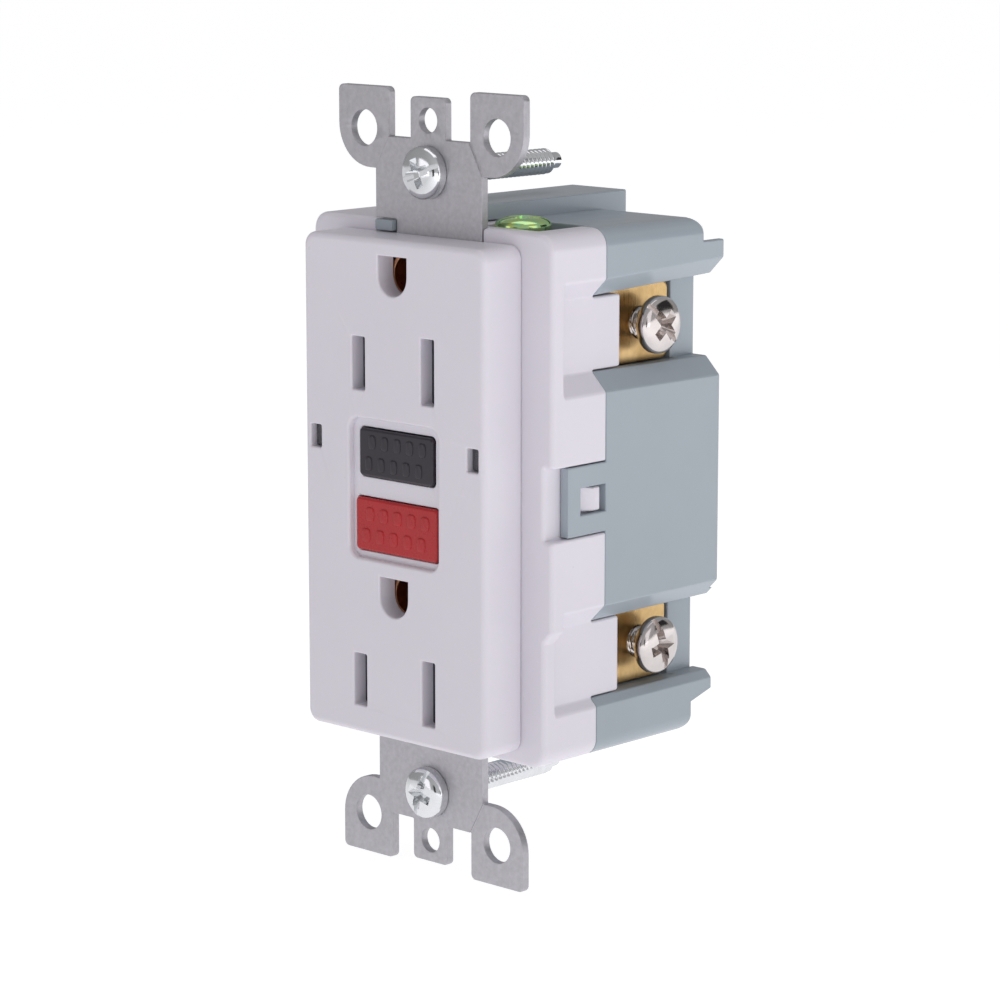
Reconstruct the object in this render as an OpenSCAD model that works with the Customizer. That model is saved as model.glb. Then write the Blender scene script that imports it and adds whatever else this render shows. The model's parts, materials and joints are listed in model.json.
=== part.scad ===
// GFCI receptacle with two tamper-resistant outlets, TEST and RESET keys and side wiring terminals.
// Frame: X to the right, Z up, front of the device towards -Y.
// Origin: centre of the device on the wall plane, which is the back face of the mounting strap.

/* [Face cover] */
// Width of the raised face
face_w = 33.2; // [33:0.1:33.3]
// Height of the raised face
face_h = 66.7; // [66.5:0.1:66.8]
// How far the face stands in front of the wall plane
face_proud = 8; // [7.8:0.1:8.2]
// Corner radius of the face
face_r = 1.8; // [1:0.1:2.5]
// Thickness of the front wall of the face
face_wall = 2.2; // [2.1:0.1:2.3]

/* [Housings] */
// Width of the body over its upper and middle blocks
body_w = 43.8; // [43.4:0.1:44.2]
// Width of the body over its lower corner blocks
low_w = 41; // [40.6:0.1:41.4]
// Height of the body
body_h = 70.2; // [70:0.1:70.6]
// Depth of the body behind the wall plane
body_depth = 32.1; // [31.8:0.1:32.6]
// Depth of the joint between the middle and rear housings
parting_y = 9.4; // [9.3:0.1:9.6]
// Width across the white terminal walls
wall_w = 39; // [38.8:0.1:39.2]
// Width across the rear housing at the terminals
bay_w = 34.4; // [34.2:0.1:34.6]

/* [Mounting strap] */
// Thickness of the strap
strap_t = 1.2; // [1.1:0.05:1.3]
// Width of the strap neck
neck_w = 19.4; // [19:0.1:19.6]
// Distance between the two box mounting screws
box_screw_pitch = 83.3; // [83.2:0.1:83.4]
// Distance between the two cover plate holes
plate_screw_pitch = 96.8; // [96.7:0.1:96.9]
// Overall length of the strap
strap_len = 104.8; // [104.4:0.2:106]
// Diameter of the hole in each plaster ear
ear_hole_d = 4.8; // [4.4:0.1:5.2]

/* [Outlets] */
// Height of the blade centre of the upper outlet
upper_z = 16.66; // [16.5:0.02:16.8]
// Height of the blade centre of the lower outlet
lower_z = -26; // [-26.1:0.02:-25.9]
// Distance between the two blade slots
blade_pitch = 12.7; // [12.6:0.05:12.8]
// Distance from the blades up to the ground hole
ground_rise = 11.9; // [11.8:0.05:12]

/* [Keys] */
// Travel of the TEST key
test_travel = 1.4; // [1.2:0.1:1.5]
// Travel of the RESET key
reset_travel = 2.6; // [2:0.1:2.8]

/* [Terminals] */
// Height of the upper (line) terminal screws
line_z = 21.3; // [21.2:0.1:21.4]
// Height of the lower (load) terminal screws
load_z = -22; // [-22.1:0.1:-21.9]
// Depth of the terminal screws behind the wall plane
term_y = 21.7; // [21.5:0.1:21.9]
// Diameter of the terminal screw heads
term_head_d = 7.7; // [7.4:0.1:8]

/* [Hidden] */
$fn = 64;
// running clearance between parts that slide or turn, and a cut overrun
gap = 0.05;
slack = 0.15;
eps = 0.5;
// face cover
face_y = -face_proud;
cover_wall = 1.6;
cover_in_w = face_w - 2 * cover_wall;
cover_in_h = face_h - 2 * cover_wall;
cover_back_y = face_y + face_wall;
rim_y = -1.05;
collar_y = -5.1;
blade_x = blade_pitch / 2;
slot_w = 2.4;
neutral_slot_h = 8.7;
hot_slot_h = 7.1;
ground_hole_w = 5.2;
window_w = 2;
window_h = 3.1;
window_x = 14.45;
window_z = 6.1;
// keys
pad_w = 16.4;
pad_h = 18.8;
pad_depth = 1;
key_y = face_y + 0.5;
test_w = 13.6;
test_h = 6.45;
test_z = 4.83;
reset_w = 15;
reset_h = 7.1;
reset_z = -4.85;
key_end_y = -2;
key_lip = 0.8;
// distance from the pivot of the test arm to the near side of the leg
lever = 7.2;
arm_pin_x = -8.6;
arm_pin_y = 2;
arm_pin_r = 0.6;
// housings
ledge_y = -1;
ledge_back_y = 1.3;
half_h = body_h / 2;
corner_r = 2.4;
seat_y = 0.05;
floor_y = 7.6;
shell_in_w = 29.4;
shell_in_h = 63.5;
notch_top = [16.3, 26.2];
notch_low = [-27.3, -16.8];
chamfer = 2.4;
open_tilt = 2.2;
shoulder_y = 28.7;
shoulder_z = 31.9;
tab_end_y = 14.9;
mech_w = 15.2;
mech_z = [-13.2, 9.6];
latch_z = 9.2;
latch_t = 1.4;
rib_z = 37.4;
spine_w = 10;
cavity_w = 27.5;
cavity_h = 61.2;
cavity_y = 30;
// strap
ear_in_x = 7.35;
ear_out_x = 16.85;
ear_hole_x = 12.08;
ear_hole_z = 46.83;
ear_set_back = 0.25;
tab_half_w = 3.2;
tab_top_z = 51.4;
gap_z = 45.95;
frame_w = 29.2;
frame_h = 62.4;
hook_x = -7.6;
hook_w = 3.2;
hook_z = [33.55, 35];
ground_tab_x = [7, 14.4];
ground_tab_z = 30.4;
ground_x = 10.8;
ground_y = 5.4;
// fasteners and wire entries
wire_r = 1.15;
wire_x = 14.95;
machine_r = 1.75;
term_r = 2.1;
term_head_x = 21.5;
term_head_h = 2;
clamp_x = [15.9, 16.9];
terminal_x = [12.4, 13.6];
neck_r = 1.4;
thread_y = [1.1, 21.6];
mount_tip_y = 23.6;
mount_head_h = 2.3;
case_r = 1.2;
case_head_r = 1.9;
case_head_y = 26.6;
// mechanism
pin_r = 1.2;
web_y = [3.3, 4.4];
lifter_y = [8, 12.6];
bridge_x = 6;
latch_y = [12.8, 13.6];
board_y = [10.6, 12.2];
coil_y = 20.5;
coil_z = [-29.6, -12.6];
plunger_r = 1.6;
plunger_z = -26;
core_z = 17.5;

white = [0.86, 0.85, 0.89];
grey = [0.64, 0.68, 0.71];
steel = [0.66, 0.67, 0.69];
brass = [0.8, 0.62, 0.32];
copper = [0.78, 0.47, 0.3];
nickel = [0.8, 0.78, 0.76];
dark = [0.25, 0.25, 0.27];

// ---- shared shapes ----

// a shape drawn in X and Z, extruded along Y from y0 to y1
module along_y(y0, y1) {
  translate([0, y1, 0]) rotate([90, 0, 0]) linear_extrude(y1 - y0) children();
}

// a shape drawn in Y and Z, extruded along X from x0 to x1
module along_x(x0, x1) {
  translate([x0, 0, 0]) rotate([90, 0, 90]) linear_extrude(x1 - x0) children();
}

// a box from its low corner to its high corner
module block(low, high) {
  translate(low) cube(high - low);
}

// a rectangle with true round corners
module round_rect(w, h, r) {
  square([w - 2 * r, h], center = true);
  square([w, h - 2 * r], center = true);
  for (sx = [-1, 1]) for (sy = [-1, 1])
    translate([sx * (w / 2 - r), sy * (h / 2 - r)]) circle(r);
}

// a round rod along Y, X or Z
module rod_y(r, x, z, y0, y1) {
  translate([x, y1, z]) rotate([90, 0, 0]) cylinder(r = r, h = y1 - y0);
}

module rod_x(r, y, z, x0, x1) {
  translate([x0, y, z]) rotate([0, 90, 0]) cylinder(r = r, h = x1 - x0);
}

module rod_z(r, x, y, z0, z1) {
  translate([x, y, z0]) cylinder(r = r, h = z1 - z0);
}

// a coil spring standing on the XY plane: the level cut through its wire is a crescent,
// which turns once for each pitch
module coil(r, wire_r, turns, length) {
  half_angle = 180 * 2 * wire_r * turns / length;
  outer = [for (t = [-1:0.5:1]) [t * half_angle, r + wire_r * cos(90 * t)]];
  inner = [for (t = [0.5:-0.5:-0.5]) [t * half_angle, r - wire_r * cos(90 * t)]];
  linear_extrude(length, twist = -360 * turns, slices = 10 * turns, $fn = 4)
    polygon([for (p = concat(outer, inner)) [p[1] * cos(p[0]), p[1] * sin(p[0])]]);
}

// a pan head screw along Z: its shank ends at z = 0 and the top of its domed head is at z = 0 + length
module screw(shank_r, head_r, head_h, dome_r, length) {
  head_z = length - head_h;
  edge_h = sqrt(dome_r * dome_r - head_r * head_r) - dome_r + head_h;
  difference() {
    union() {
      cylinder(r = shank_r, h = head_z + edge_h / 2);
      translate([0, 0, head_z]) cylinder(r = head_r, h = edge_h);
      intersection() {
        translate([0, 0, length - dome_r]) sphere(dome_r);
        translate([0, 0, head_z + edge_h / 2]) cylinder(r = head_r - 0.01, h = head_h);
      }
    }
    // cross recess
    translate([-head_r * 0.45, -0.4, length - 1.2]) cube([head_r * 0.9, 0.8, 2]);
    translate([-0.4, -head_r * 0.45, length - 1.2]) cube([0.8, head_r * 0.9, 2]);
  }
}

// the ground pin opening: flat on top and round below
module ground_outline(w) {
  circle(w / 2);
  translate([-w / 2, 0]) square([w, w / 2]);
}

// children on the right side and their mirror image on the left
module both_sides() {
  children();
  mirror([1, 0, 0]) children();
}

// ---- covers and housings ----

// slots, ground holes and indicator windows in the face
module face_openings() {
  for (z = [upper_z, lower_z]) {
    translate([blade_x, z]) round_rect(slot_w, neutral_slot_h, 0.25);
    translate([-blade_x, z]) round_rect(slot_w, hot_slot_h, 0.25);
    translate([0, z + ground_rise]) ground_outline(ground_hole_w);
  }
  translate([0, test_z]) round_rect(test_w + 2 * slack, test_h + 2 * slack, 0.7);
  translate([0, reset_z]) round_rect(reset_w + 2 * slack, reset_h + 2 * slack, 0.7);
}

module face_cover() {
  color(white) difference() {
    along_y(face_y, rim_y) round_rect(face_w, face_h, face_r);
    difference() {
      along_y(cover_back_y, 0) round_rect(cover_in_w, cover_in_h, 0.8);
      // collars that lengthen the ground openings
      for (z = [upper_z, lower_z])
        rod_y(3.9, 0, z + ground_rise, cover_back_y - eps, collar_y);
    }
    along_y(face_y - eps, collar_y + eps) face_openings();
    along_y(face_y - eps, face_y + pad_depth) round_rect(pad_w, pad_h, 1.6);
    for (x = [-window_x, window_x])
      translate([x, 0, window_z])
        along_y(face_y - eps, cover_back_y + eps) round_rect(window_w, window_h, 0.25);
    // the rim steps over the strap neck
    block([-neck_w / 2 - slack, -strap_t - gap, -face_h], [neck_w / 2 + slack, 0, face_h]);
  }
}

// one terminal opening in the side outline, between heights z[0] and z[1], with its outer edges beveled
module side_notch(x_in, z) {
  knee_x = body_w / 2 - chamfer;
  reach = chamfer + 1;
  translate([x_in, z[0]]) square([knee_x + reach - x_in, z[1] - z[0]]);
  polygon([[knee_x, z[0]], [knee_x, z[1]], [knee_x + reach, z[1] + reach], [knee_x + reach, z[0] - reach]]);
}

// outline of the body from the front, before the terminal openings
module body_outline(r) {
  step_z = notch_low[1];
  narrow = (body_w - low_w) / 2;
  intersection() {
    round_rect(body_w, body_h, r);
    translate([-body_w / 2, step_z]) square([body_w, body_h]);
  }
  intersection() {
    round_rect(low_w, body_h, r);
    square([body_w, body_h], center = true);
  }
  polygon([[-body_w / 2, step_z], [body_w / 2, step_z],
    [low_w / 2, step_z - narrow], [-low_w / 2, step_z - narrow]]);
}

module middle_shell() {
  along_y(ledge_y, ledge_back_y) body_outline(corner_r);
  along_y(ledge_back_y - gap, parting_y) difference() {
    body_outline(corner_r);
    both_sides() side_notch(wall_w / 2, notch_top);
    both_sides() side_notch(wall_w / 2, notch_low);
  }
  // walls that reach back over the terminals
  for (z = [notch_top, notch_low])
    both_sides()
      block([bay_w / 2 + slack, parting_y - eps, z[0] + slack], [wall_w / 2, tab_end_y, z[1] - slack]);
}

module middle_housing() {
  color(white) difference() {
    middle_shell();
    // seat for the strap, and its channel out of both ends
    along_y(ledge_y - eps, seat_y) square([frame_w + 2 * slack, frame_h + 1.2], center = true);
    along_y(ledge_y - eps, seat_y) square([neck_w + 2 * slack, body_h + 2], center = true);
    // tray for the contacts
    along_y(0, floor_y) square([shell_in_w, shell_in_h], center = true);
    // openings in the floor for the mechanism, wires and light pipes
    block([-mech_w / 2, floor_y - eps, mech_z[0]], [mech_w / 2, parting_y + eps, mech_z[1]]);
    both_sides() block([13.3, -1, window_z - 1.8], [15.1, parting_y + eps, window_z + 1.8]);
    both_sides() block([11.3, floor_y - eps, -20.2], [12.6, parting_y + eps, -17.8]);
    // pocket for the ground screw
    block([6.4, ledge_back_y, ground_tab_z - 0.2], [17.3, 10, half_h + 1]);
    // groove for the strap hook
    block([hook_x - hook_w / 2 - slack, -2, hook_z[0] - slack],
      [hook_x + hook_w / 2 + slack, 10, half_h + 1]);
    // side latches
    both_sides() latch_pocket();
    // threads of the case screws
    for (p = case_points()) rod_y(case_r + gap, p[0], p[1], 2.4, parting_y + eps);
  }
  color(white) {
    both_sides() latch_catch();
    spring_seat();
    for (z = [1.8, 8.2]) arm_post(z);
  }
}

// recess in the side for one latch arm
module latch_pocket() {
  block([body_w / 2 - latch_t - 0.1, ledge_y - eps, -latch_z / 2 - slack + 0.1],
    [body_w, parting_y + eps, latch_z / 2 + slack + 0.1]);
}

// the wedge that the latch arm snaps over
module latch_catch() {
  x = body_w / 2 - latch_t - 0.1;
  translate([0, 0, -1.6]) linear_extrude(3.2)
    polygon([[x - 0.4, 5], [x, 5], [x + 1.2, 7.4], [x + 1.2, 8.6], [x - 0.4, 8.6]]);
}

// web that carries the reset spring and guides the reset pin
module spring_seat() {
  difference() {
    block([-shell_in_w / 2 - eps, web_y[0], -9.6], [shell_in_w / 2 + eps, web_y[1], 0.2]);
    rod_y(pin_r + gap, 0, reset_z, web_y[0] - eps, web_y[1] + eps);
  }
}

// one of the two posts that hold the pivot pin of the test arm
module arm_post(z) {
  difference() {
    block([-9.8, 0.8, z - 0.6], [-mech_w / 2 - 0.1, floor_y + eps, z + 0.6]);
    rod_z(arm_pin_r, arm_pin_x, arm_pin_y, z - 1, z + 1);
  }
}

// the four case screws: two in the upper and two in the lower corner blocks
function case_points() = [for (s = [-1, 1]) for (p = [[18.8, 32.4], [17.4, -32.4]]) [s * p[0], p[1]]];

// one terminal bay in the rear housing: its upper side opens towards the back
module bay_cut(z, tilt) {
  translate([0, parting_y - eps, z[1]]) rotate([tilt, 0, 0]) translate([0, 0, -z[1]])
    along_y(0, 2 * body_depth) side_notch(bay_w / 2, [(z[0] + z[1]) / 2, z[1]]);
  translate([0, parting_y - eps, z[0]]) rotate([-tilt / 4, 0, 0]) translate([0, 0, -z[0]])
    along_y(0, 2 * body_depth) side_notch(bay_w / 2, [z[0], (z[0] + z[1]) / 2 + 2]);
}

// rear shell: both ends are set back behind a round shoulder
module rear_shell() {
  r = 1.8;
  tab_y = body_depth + 0.6;
  intersection() {
    along_y(parting_y, tab_y) body_outline(corner_r);
    along_x(-body_w, body_w) {
      polygon([[0, shoulder_z], [tab_y, shoulder_z], [tab_y, -shoulder_z + 2],
        [shoulder_y, -shoulder_z + 0.8], [0, -shoulder_z + 0.8]]);
      translate([0, -half_h]) square([shoulder_y - r, body_h]);
      translate([0, -half_h + r]) square([shoulder_y, body_h - 2 * r]);
      for (s = [-1, 1]) translate([shoulder_y - r, s * (half_h - r)]) circle(r);
    }
  }
  // raised spine beside the ground screw
  block([-spine_w / 2, ledge_back_y, half_h + slack], [spine_w / 2, parting_y + 1, rib_z]);
  block([-spine_w / 2, parting_y, half_h - 2], [spine_w / 2, body_depth, rib_z]);
}

module rear_housing() {
  color(grey) difference() {
    rear_shell();
    both_sides() bay_cut(notch_top, open_tilt);
    both_sides() bay_cut(notch_low, 0);
    // the rear face between the corner tabs
    block([-bay_w / 2 - gap, body_depth, -half_h], [bay_w / 2 + gap, body_depth + 2, half_h + 1]);
    both_sides() block([bay_w / 2 - eps, body_depth, -15.8], [body_w, body_depth + 2, 16.3]);
    // main chamber
    block([-cavity_w / 2, parting_y - 1, -cavity_h / 2], [cavity_w / 2, cavity_y, cavity_h / 2]);
    both_sides() block([cavity_w / 2 - 1, parting_y - 1, -12.6], [19.9, cavity_y, 12.6]);
    // pockets where the clamp plates travel
    for (z = [line_z, load_z])
      both_sides() block([cavity_w / 2 - 1, 11, z - 5.4], [bay_w / 2 + 1, 27.4, z + 5.4]);
    // wire entries
    for (z = [line_z, load_z]) for (dz = [-3.3, 3.3])
      both_sides() rod_y(wire_r, wire_x, z + dz, 27, body_depth + 1);
    // counterbored holes of the case screws
    for (p = case_points()) {
      rod_y(case_r + slack, p[0], p[1], parting_y - 1, case_head_y);
      rod_y(case_head_r + slack, p[0], p[1], case_head_y - gap, body_depth + 1);
    }
    // clearance for the washer of the ground screw
    block([6.4, parting_y - 1, ground_tab_z - 0.2], [17.3, parting_y + 1, half_h + 1]);
    // shallow panel on the back
    block([-11.5, body_depth - 0.4, -13], [11.5, body_depth + 1, 13]);
  }
  color(grey) {
    both_sides() latch_arm();
    strap_hook();
  }
}

// spring arm that snaps over the catch of the middle housing
module latch_arm() {
  x1 = body_w / 2;
  difference() {
    block([x1 - latch_t, 2.1, -latch_z / 2 + 0.1], [x1, parting_y + 2.7, latch_z / 2 + 0.1]);
    block([x1 - 4, 4.6, -1.8], [x1 + 1, parting_y, 1.8]);
  }
}

// arm that passes through the strap and hooks over its front
module strap_hook() {
  x0 = hook_x - hook_w / 2;
  x1 = hook_x + hook_w / 2;
  block([x0, -1.9, hook_z[0]], [x1, parting_y + 2, hook_z[1]]);
}

// ---- mounting strap ----

// one plaster ear, on the right at the top
module ear_outline() {
  r = 5.8;
  top = strap_len / 2;
  translate([ear_in_x, gap_z]) square([ear_out_x - ear_in_x - 0.8, top - gap_z - 0.8]);
  translate([ear_in_x + 0.8, gap_z]) square([ear_out_x - ear_in_x - 1.6, top - gap_z]);
  translate([ear_out_x - r, 47.4]) square([r, top - 47.4 - 0.8]);
  for (x = [ear_in_x + 0.8, ear_out_x - 0.8]) translate([x, top - 0.8]) circle(0.8);
  intersection() {
    translate([ear_out_x - r, 47.4]) circle(r);
    translate([ear_out_x - r, 40]) square([r + 1, 8]);
  }
  polygon([[ear_in_x, gap_z], [neck_w / 2, 41.6], [ear_out_x - r, 41.6], [ear_out_x - r, 47.4],
    [ear_in_x, 47.4]]);
}

// neck and centre tab at the top end
module neck_outline() {
  translate([-neck_w / 2, frame_h / 2 - 1]) square([neck_w, 41.6 - frame_h / 2 + 1]);
  polygon([[-neck_w / 2, 41.6], [neck_w / 2, 41.6], [ear_in_x, gap_z], [-ear_in_x, gap_z]]);
  translate([-tab_half_w, gap_z - 1]) square([2 * tab_half_w, tab_top_z - gap_z + 1 - 0.7]);
  translate([-tab_half_w + 0.7, gap_z - 1]) square([2 * tab_half_w - 1.4, tab_top_z - gap_z + 1]);
  for (s = [-1, 1]) translate([s * (tab_half_w - 0.7), tab_top_z - 0.7]) circle(0.7);
}

// windows in the strap for the outlets, the mechanism and the light pipes
module strap_windows() {
  translate([0, upper_z]) square([22, 11.4], center = true);
  translate([0, lower_z]) square([22, 9.8], center = true);
  translate([-9.4, -10]) square([18.8, 19.4]);
  for (z = [upper_z, lower_z]) translate([0, z + ground_rise]) circle(3.25);
  for (s = [-1, 1]) translate([s * frame_w / 2, window_z]) square([2.6, 3.6], center = true);
}

module strap_end() {
  along_y(-strap_t, 0) neck_outline();
  along_y(-strap_t + ear_set_back, ear_set_back) {
    ear_outline();
    mirror([1, 0]) ear_outline();
  }
}

module mounting_strap() {
  color(steel) difference() {
    union() {
      along_y(-strap_t, 0) square([frame_w, frame_h], center = true);
      strap_end();
      mirror([0, 0, 1]) strap_end();
      // tab bent back for the ground screw
      block([ground_tab_x[0], -strap_t, ground_tab_z],
        [ground_tab_x[1], ground_y + 4, ground_tab_z + strap_t]);
    }
    along_y(-strap_t - eps, eps) strap_windows();
    for (s = [-1, 1]) {
      z = s * box_screw_pitch / 2;
      translate([-0.9, 0, 0]) rod_y(machine_r + 0.2, 0, z, -3, 2);
      translate([0.9, 0, 0]) rod_y(machine_r + 0.2, 0, z, -3, 2);
      block([-0.9, -3, z - machine_r - 0.2], [0.9, 2, z + machine_r + 0.2]);
      rod_y(1.65, 0, s * plate_screw_pitch / 2, -3, 2);
      for (x = [-ear_hole_x, ear_hole_x]) rod_y(ear_hole_d / 2, x, s * ear_hole_z, -3, 2);
    }
    rod_z(term_r + gap, ground_x, ground_y, ground_tab_z - 1, ground_tab_z + 3);
    // notch for the hook of the rear housing
    block([-neck_w, -3, hook_z[0] - slack], [hook_x + hook_w / 2 + slack, 2, hook_z[1] + slack]);
  }
}

module ground_contacts() {
  color(copper) for (z = [upper_z, lower_z]) translate([0, 0, z + ground_rise]) difference() {
    union() {
      rod_y(3.05, 0, 0, collar_y + 0.15, 6.4);
      block([-5, 0.1, -2.2], [5, 0.8, 2.2]);
    }
    rod_y(2.5, 0, 0, collar_y - 1, 7);
    // slits that make the sleeve springy
    block([-0.4, 1.6, -4], [0.4, 7, 4]);
  }
}

// ---- keys and test circuit ----

// a key cap with a retaining lip behind the face and a shallow dish in front
module key_cap(w, h, z) {
  translate([0, 0, z]) {
    along_y(key_y, key_end_y) round_rect(w, h, 0.6);
    along_y(cover_back_y + 0.1, cover_back_y + 1)
      round_rect(w + 2 * key_lip, h + key_lip, 0.6);
  }
}

module test_button() {
  color(dark) {
    key_cap(test_w, test_h, test_z);
    // leg that presses the test arm
    leg_x = arm_pin_x + lever;
    block([leg_x, key_end_y - 1, test_z - 1.5], [leg_x + 1.6, arm_pin_y - 0.35, test_z + 1.5]);
  }
}

module reset_button() {
  color([0.75, 0.16, 0.16]) difference() {
    key_cap(reset_w, reset_h, reset_z);
    rod_y(pin_r + gap, 0, reset_z, -4.4, 0);
  }
}

module reset_pin() {
  tip_y = latch_y[0] - 0.1;
  color(steel) difference() {
    rod_y(pin_r, 0, reset_z, -4.3, tip_y);
    // groove that the latch plate catches once the key is pressed
    difference() {
      rod_y(pin_r + 1, 0, reset_z, latch_y[0] - reset_travel - 0.1, latch_y[1] - reset_travel + 0.1);
      rod_y(pin_r - 0.4, 0, reset_z, latch_y[0] - reset_travel - 1, latch_y[1]);
    }
  }
}

module reset_spring() {
  color(steel) translate([0, key_end_y + 0.1, reset_z]) rotate([-90, 0, 0])
    coil(2.2, 0.3, 5, web_y[0] - key_end_y - 0.2);
}

module test_arm() {
  color(brass) difference() {
    union() {
      rod_z(arm_pin_r + 0.45, arm_pin_x, arm_pin_y, 2.6, 7.4);
      block([arm_pin_x, arm_pin_y - 0.25, 3], [2.4, arm_pin_y + 0.25, 7]);
    }
    rod_z(arm_pin_r + gap, arm_pin_x, arm_pin_y, 2, 8);
  }
}

module test_arm_pin() {
  color(steel) rod_z(arm_pin_r, arm_pin_x, arm_pin_y, 1.2, 8.8);
}

module test_contact() {
  color(brass) rod_y(0.6, 1.4, 5, arm_pin_y + 2.45, board_y[0] - gap);
}

// ---- shutters ----

// one shutter: it blocks both blade slots at rest and slides to the right to clear them
module shutter(z) {
  travel = 3.2;
  difference() {
    block([-11.6, cover_back_y + 0.1, z - 4.8], [9.4, cover_back_y + 1.6, z + 4.8]);
    for (x = [-blade_x, blade_x])
      block([x - travel - 1.3, cover_back_y - 1, z - 4.5], [x - travel + 1.3, 0, z + 4.5]);
    // ramps that the blades push against
    for (x = [-blade_x, blade_x])
      translate([x - 1.3, cover_back_y, z - 4.5]) linear_extrude(9)
        polygon([[0, -0.1], [0, 1.1], [2.2, -0.1]]);
  }
}

module upper_shutter() {
  color([0.42, 0.41, 0.46]) shutter(upper_z);
}

module lower_shutter() {
  color([0.42, 0.41, 0.46]) shutter(lower_z);
}

// small spring between a shutter and the wall of the cover
module shutter_spring(z) {
  translate([9.5, cover_back_y + 0.9, z]) rotate([0, 90, 0]) coil(0.55, 0.14, 7, 5.3);
}

module upper_shutter_spring() {
  color(steel) shutter_spring(upper_z);
}

module lower_shutter_spring() {
  color(steel) shutter_spring(lower_z);
}

// plates behind the shutters, open for the blades
module shutter_retainers() {
  y0 = cover_back_y + 1.7;
  color([0.8, 0.8, 0.82]) for (z = [upper_z, lower_z]) difference() {
    block([-14.6, y0, z - 5.4], [14.6, y0 + 0.8, z + 5.4]);
    for (x = [-blade_x, blade_x]) block([x - 1.4, y0 - 1, z - 4.6], [x + 1.4, y0 + 2, z + 4.6]);
  }
}

// ---- contacts ----

// bus bar of one side: it joins both blade grips and the fixed load contact
module face_contact() {
  y0 = floor_y - 1;
  y1 = floor_y - 0.2;
  block([10.4, y0, -30], [12.8, y1, 21]);
  for (z = [upper_z, lower_z]) {
    block([blade_x - 1.5, y0, z - 3], [10.6, y1, z + 3]);
    for (s = [-1, 1])
      translate([blade_x + s * 1.2, 0, 0]) block([-0.3, 0.9, z - 3], [0.3, y1, z + 3]);
  }
  // arm to the fixed contact pad
  block([10.4, 4.6, -12.6], [11.2, y1, -10.4]);
  block([bridge_x - 1, 4.6, -12.6], [11.2, 5.4, -10.4]);
  rod_y(0.9, bridge_x, -11.5, 5.2, 5.55);
  // tail soldered to the edge of the board
  block([11.6, y0, -19.9], [12.3, board_y[0] - 0.1, -18.1]);
}

module neutral_face_contact() {
  color(copper) face_contact();
}

module hot_face_contact() {
  color(copper) mirror([1, 0, 0]) face_contact();
}

// line side contact: from the board forward to a fixed contact pad
module line_contact() {
  block([bridge_x - 1, 4.6, 1], [bridge_x + 1, 5.4, 8.6]);
  block([bridge_x - 1, 4.6, 7.8], [bridge_x + 1, board_y[0] - 0.1, 8.6]);
  rod_y(0.9, bridge_x, 2.2, 5.2, 5.55);
}

module line_neutral_contact() {
  color(copper) line_contact();
}

module line_hot_contact() {
  color(copper) mirror([1, 0, 0]) line_contact();
}

// two contact bridges carried by the lifter
module moving_contacts() {
  color(copper) both_sides() {
    block([bridge_x - 1, lifter_y[0] - 0.7, -12.5], [bridge_x + 1, lifter_y[0] - 0.1, 3.2]);
    for (z = [-11.5, 2.2]) rod_y(0.9, bridge_x, z, 6.85, 7.4);
    // rivets that fix the bridge to the lifter
    for (z = [-7.6, -2]) rod_y(0.5, bridge_x, z, lifter_y[0] - 0.3, lifter_y[0] + 1);
  }
}

module lifter_block() {
  color([0.3, 0.32, 0.36]) difference() {
    union() {
      block([-7.2, lifter_y[0], -9.2], [7.2, lifter_y[1], -0.6]);
      // rails that guide the latch plate
      both_sides() block([3.9, lifter_y[1] - eps, -9.2], [6, latch_y[1] + 0.2, -0.6]);
    }
    rod_y(pin_r + gap, 0, reset_z, 7, 15);
    both_sides() for (z = [-7.6, -2]) rod_y(0.55, bridge_x, z, 7, lifter_y[0] + 1.1);
    // pockets for the return springs
    for (x = [-3.4, 3.4]) rod_y(1.3, x, -4.9, 7, lifter_y[0] + 2);
  }
}

module lifter_springs() {
  color(steel) for (x = [-3.4, 3.4])
    translate([x, web_y[1] + 0.05, -4.9]) rotate([-90, 0, 0]) coil(0.9, 0.18, 6, 5.5);
}

module latch_plate() {
  color(steel) difference() {
    union() {
      block([-3.8, latch_y[0], -9.4], [3.8, latch_y[1], 1]);
      // arm that the head of the plunger hooks over
      block([-2, latch_y[0], -10], [2, coil_y + 2, -9.4]);
    }
    block([-0.75, coil_y - 0.8, -11], [0.75, coil_y + 3, -9]);
    // keyhole: the pin passes the round part, and its groove fits the slot above
    rod_y(pin_r + 0.15, 0, reset_z, 12, 16);
    block([-pin_r + 0.3, 12, reset_z], [pin_r - 0.3, 16, reset_z + 2.6]);
  }
}

// ---- solenoid ----

module solenoid_bobbin() {
  color([0.85, 0.83, 0.74]) difference() {
    union() {
      rod_z(2.8, 0, coil_y, coil_z[0], coil_z[1]);
      for (z = [coil_z[0], coil_z[1] - 1]) rod_z(6.2, 0, coil_y, z, z + 1);
    }
    rod_z(plunger_r + gap, 0, coil_y, coil_z[0] - 1, coil_z[1] + 1);
  }
}

module solenoid_coil() {
  color([0.7, 0.33, 0.16]) difference() {
    rod_z(5.7, 0, coil_y, coil_z[0] + 1.1, coil_z[1] - 1.1);
    rod_z(2.9, 0, coil_y, coil_z[0], coil_z[1]);
  }
}

module solenoid_frame() {
  z0 = coil_z[0] - 0.9;
  z1 = coil_z[1] + 0.9;
  color(steel) difference() {
    union() {
      block([-5, coil_y - 4, z0], [5, coil_y + 7.4, z0 + 0.8]);
      block([-5, coil_y - 4, z1 - 0.8], [5, coil_y + 7.4, z1]);
      block([-5, coil_y + 6.6, z0], [5, coil_y + 7.4, z1]);
    }
    rod_z(plunger_r + 0.2, 0, coil_y, coil_z[1], z1 + 1);
  }
}

module plunger() {
  color(steel) {
    rod_z(plunger_r, 0, coil_y, plunger_z, -10.5);
    rod_z(0.6, 0, coil_y, -10.6, -9.2);
    rod_z(1.4, 0, coil_y, -9.3, -8.8);
  }
}

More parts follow.
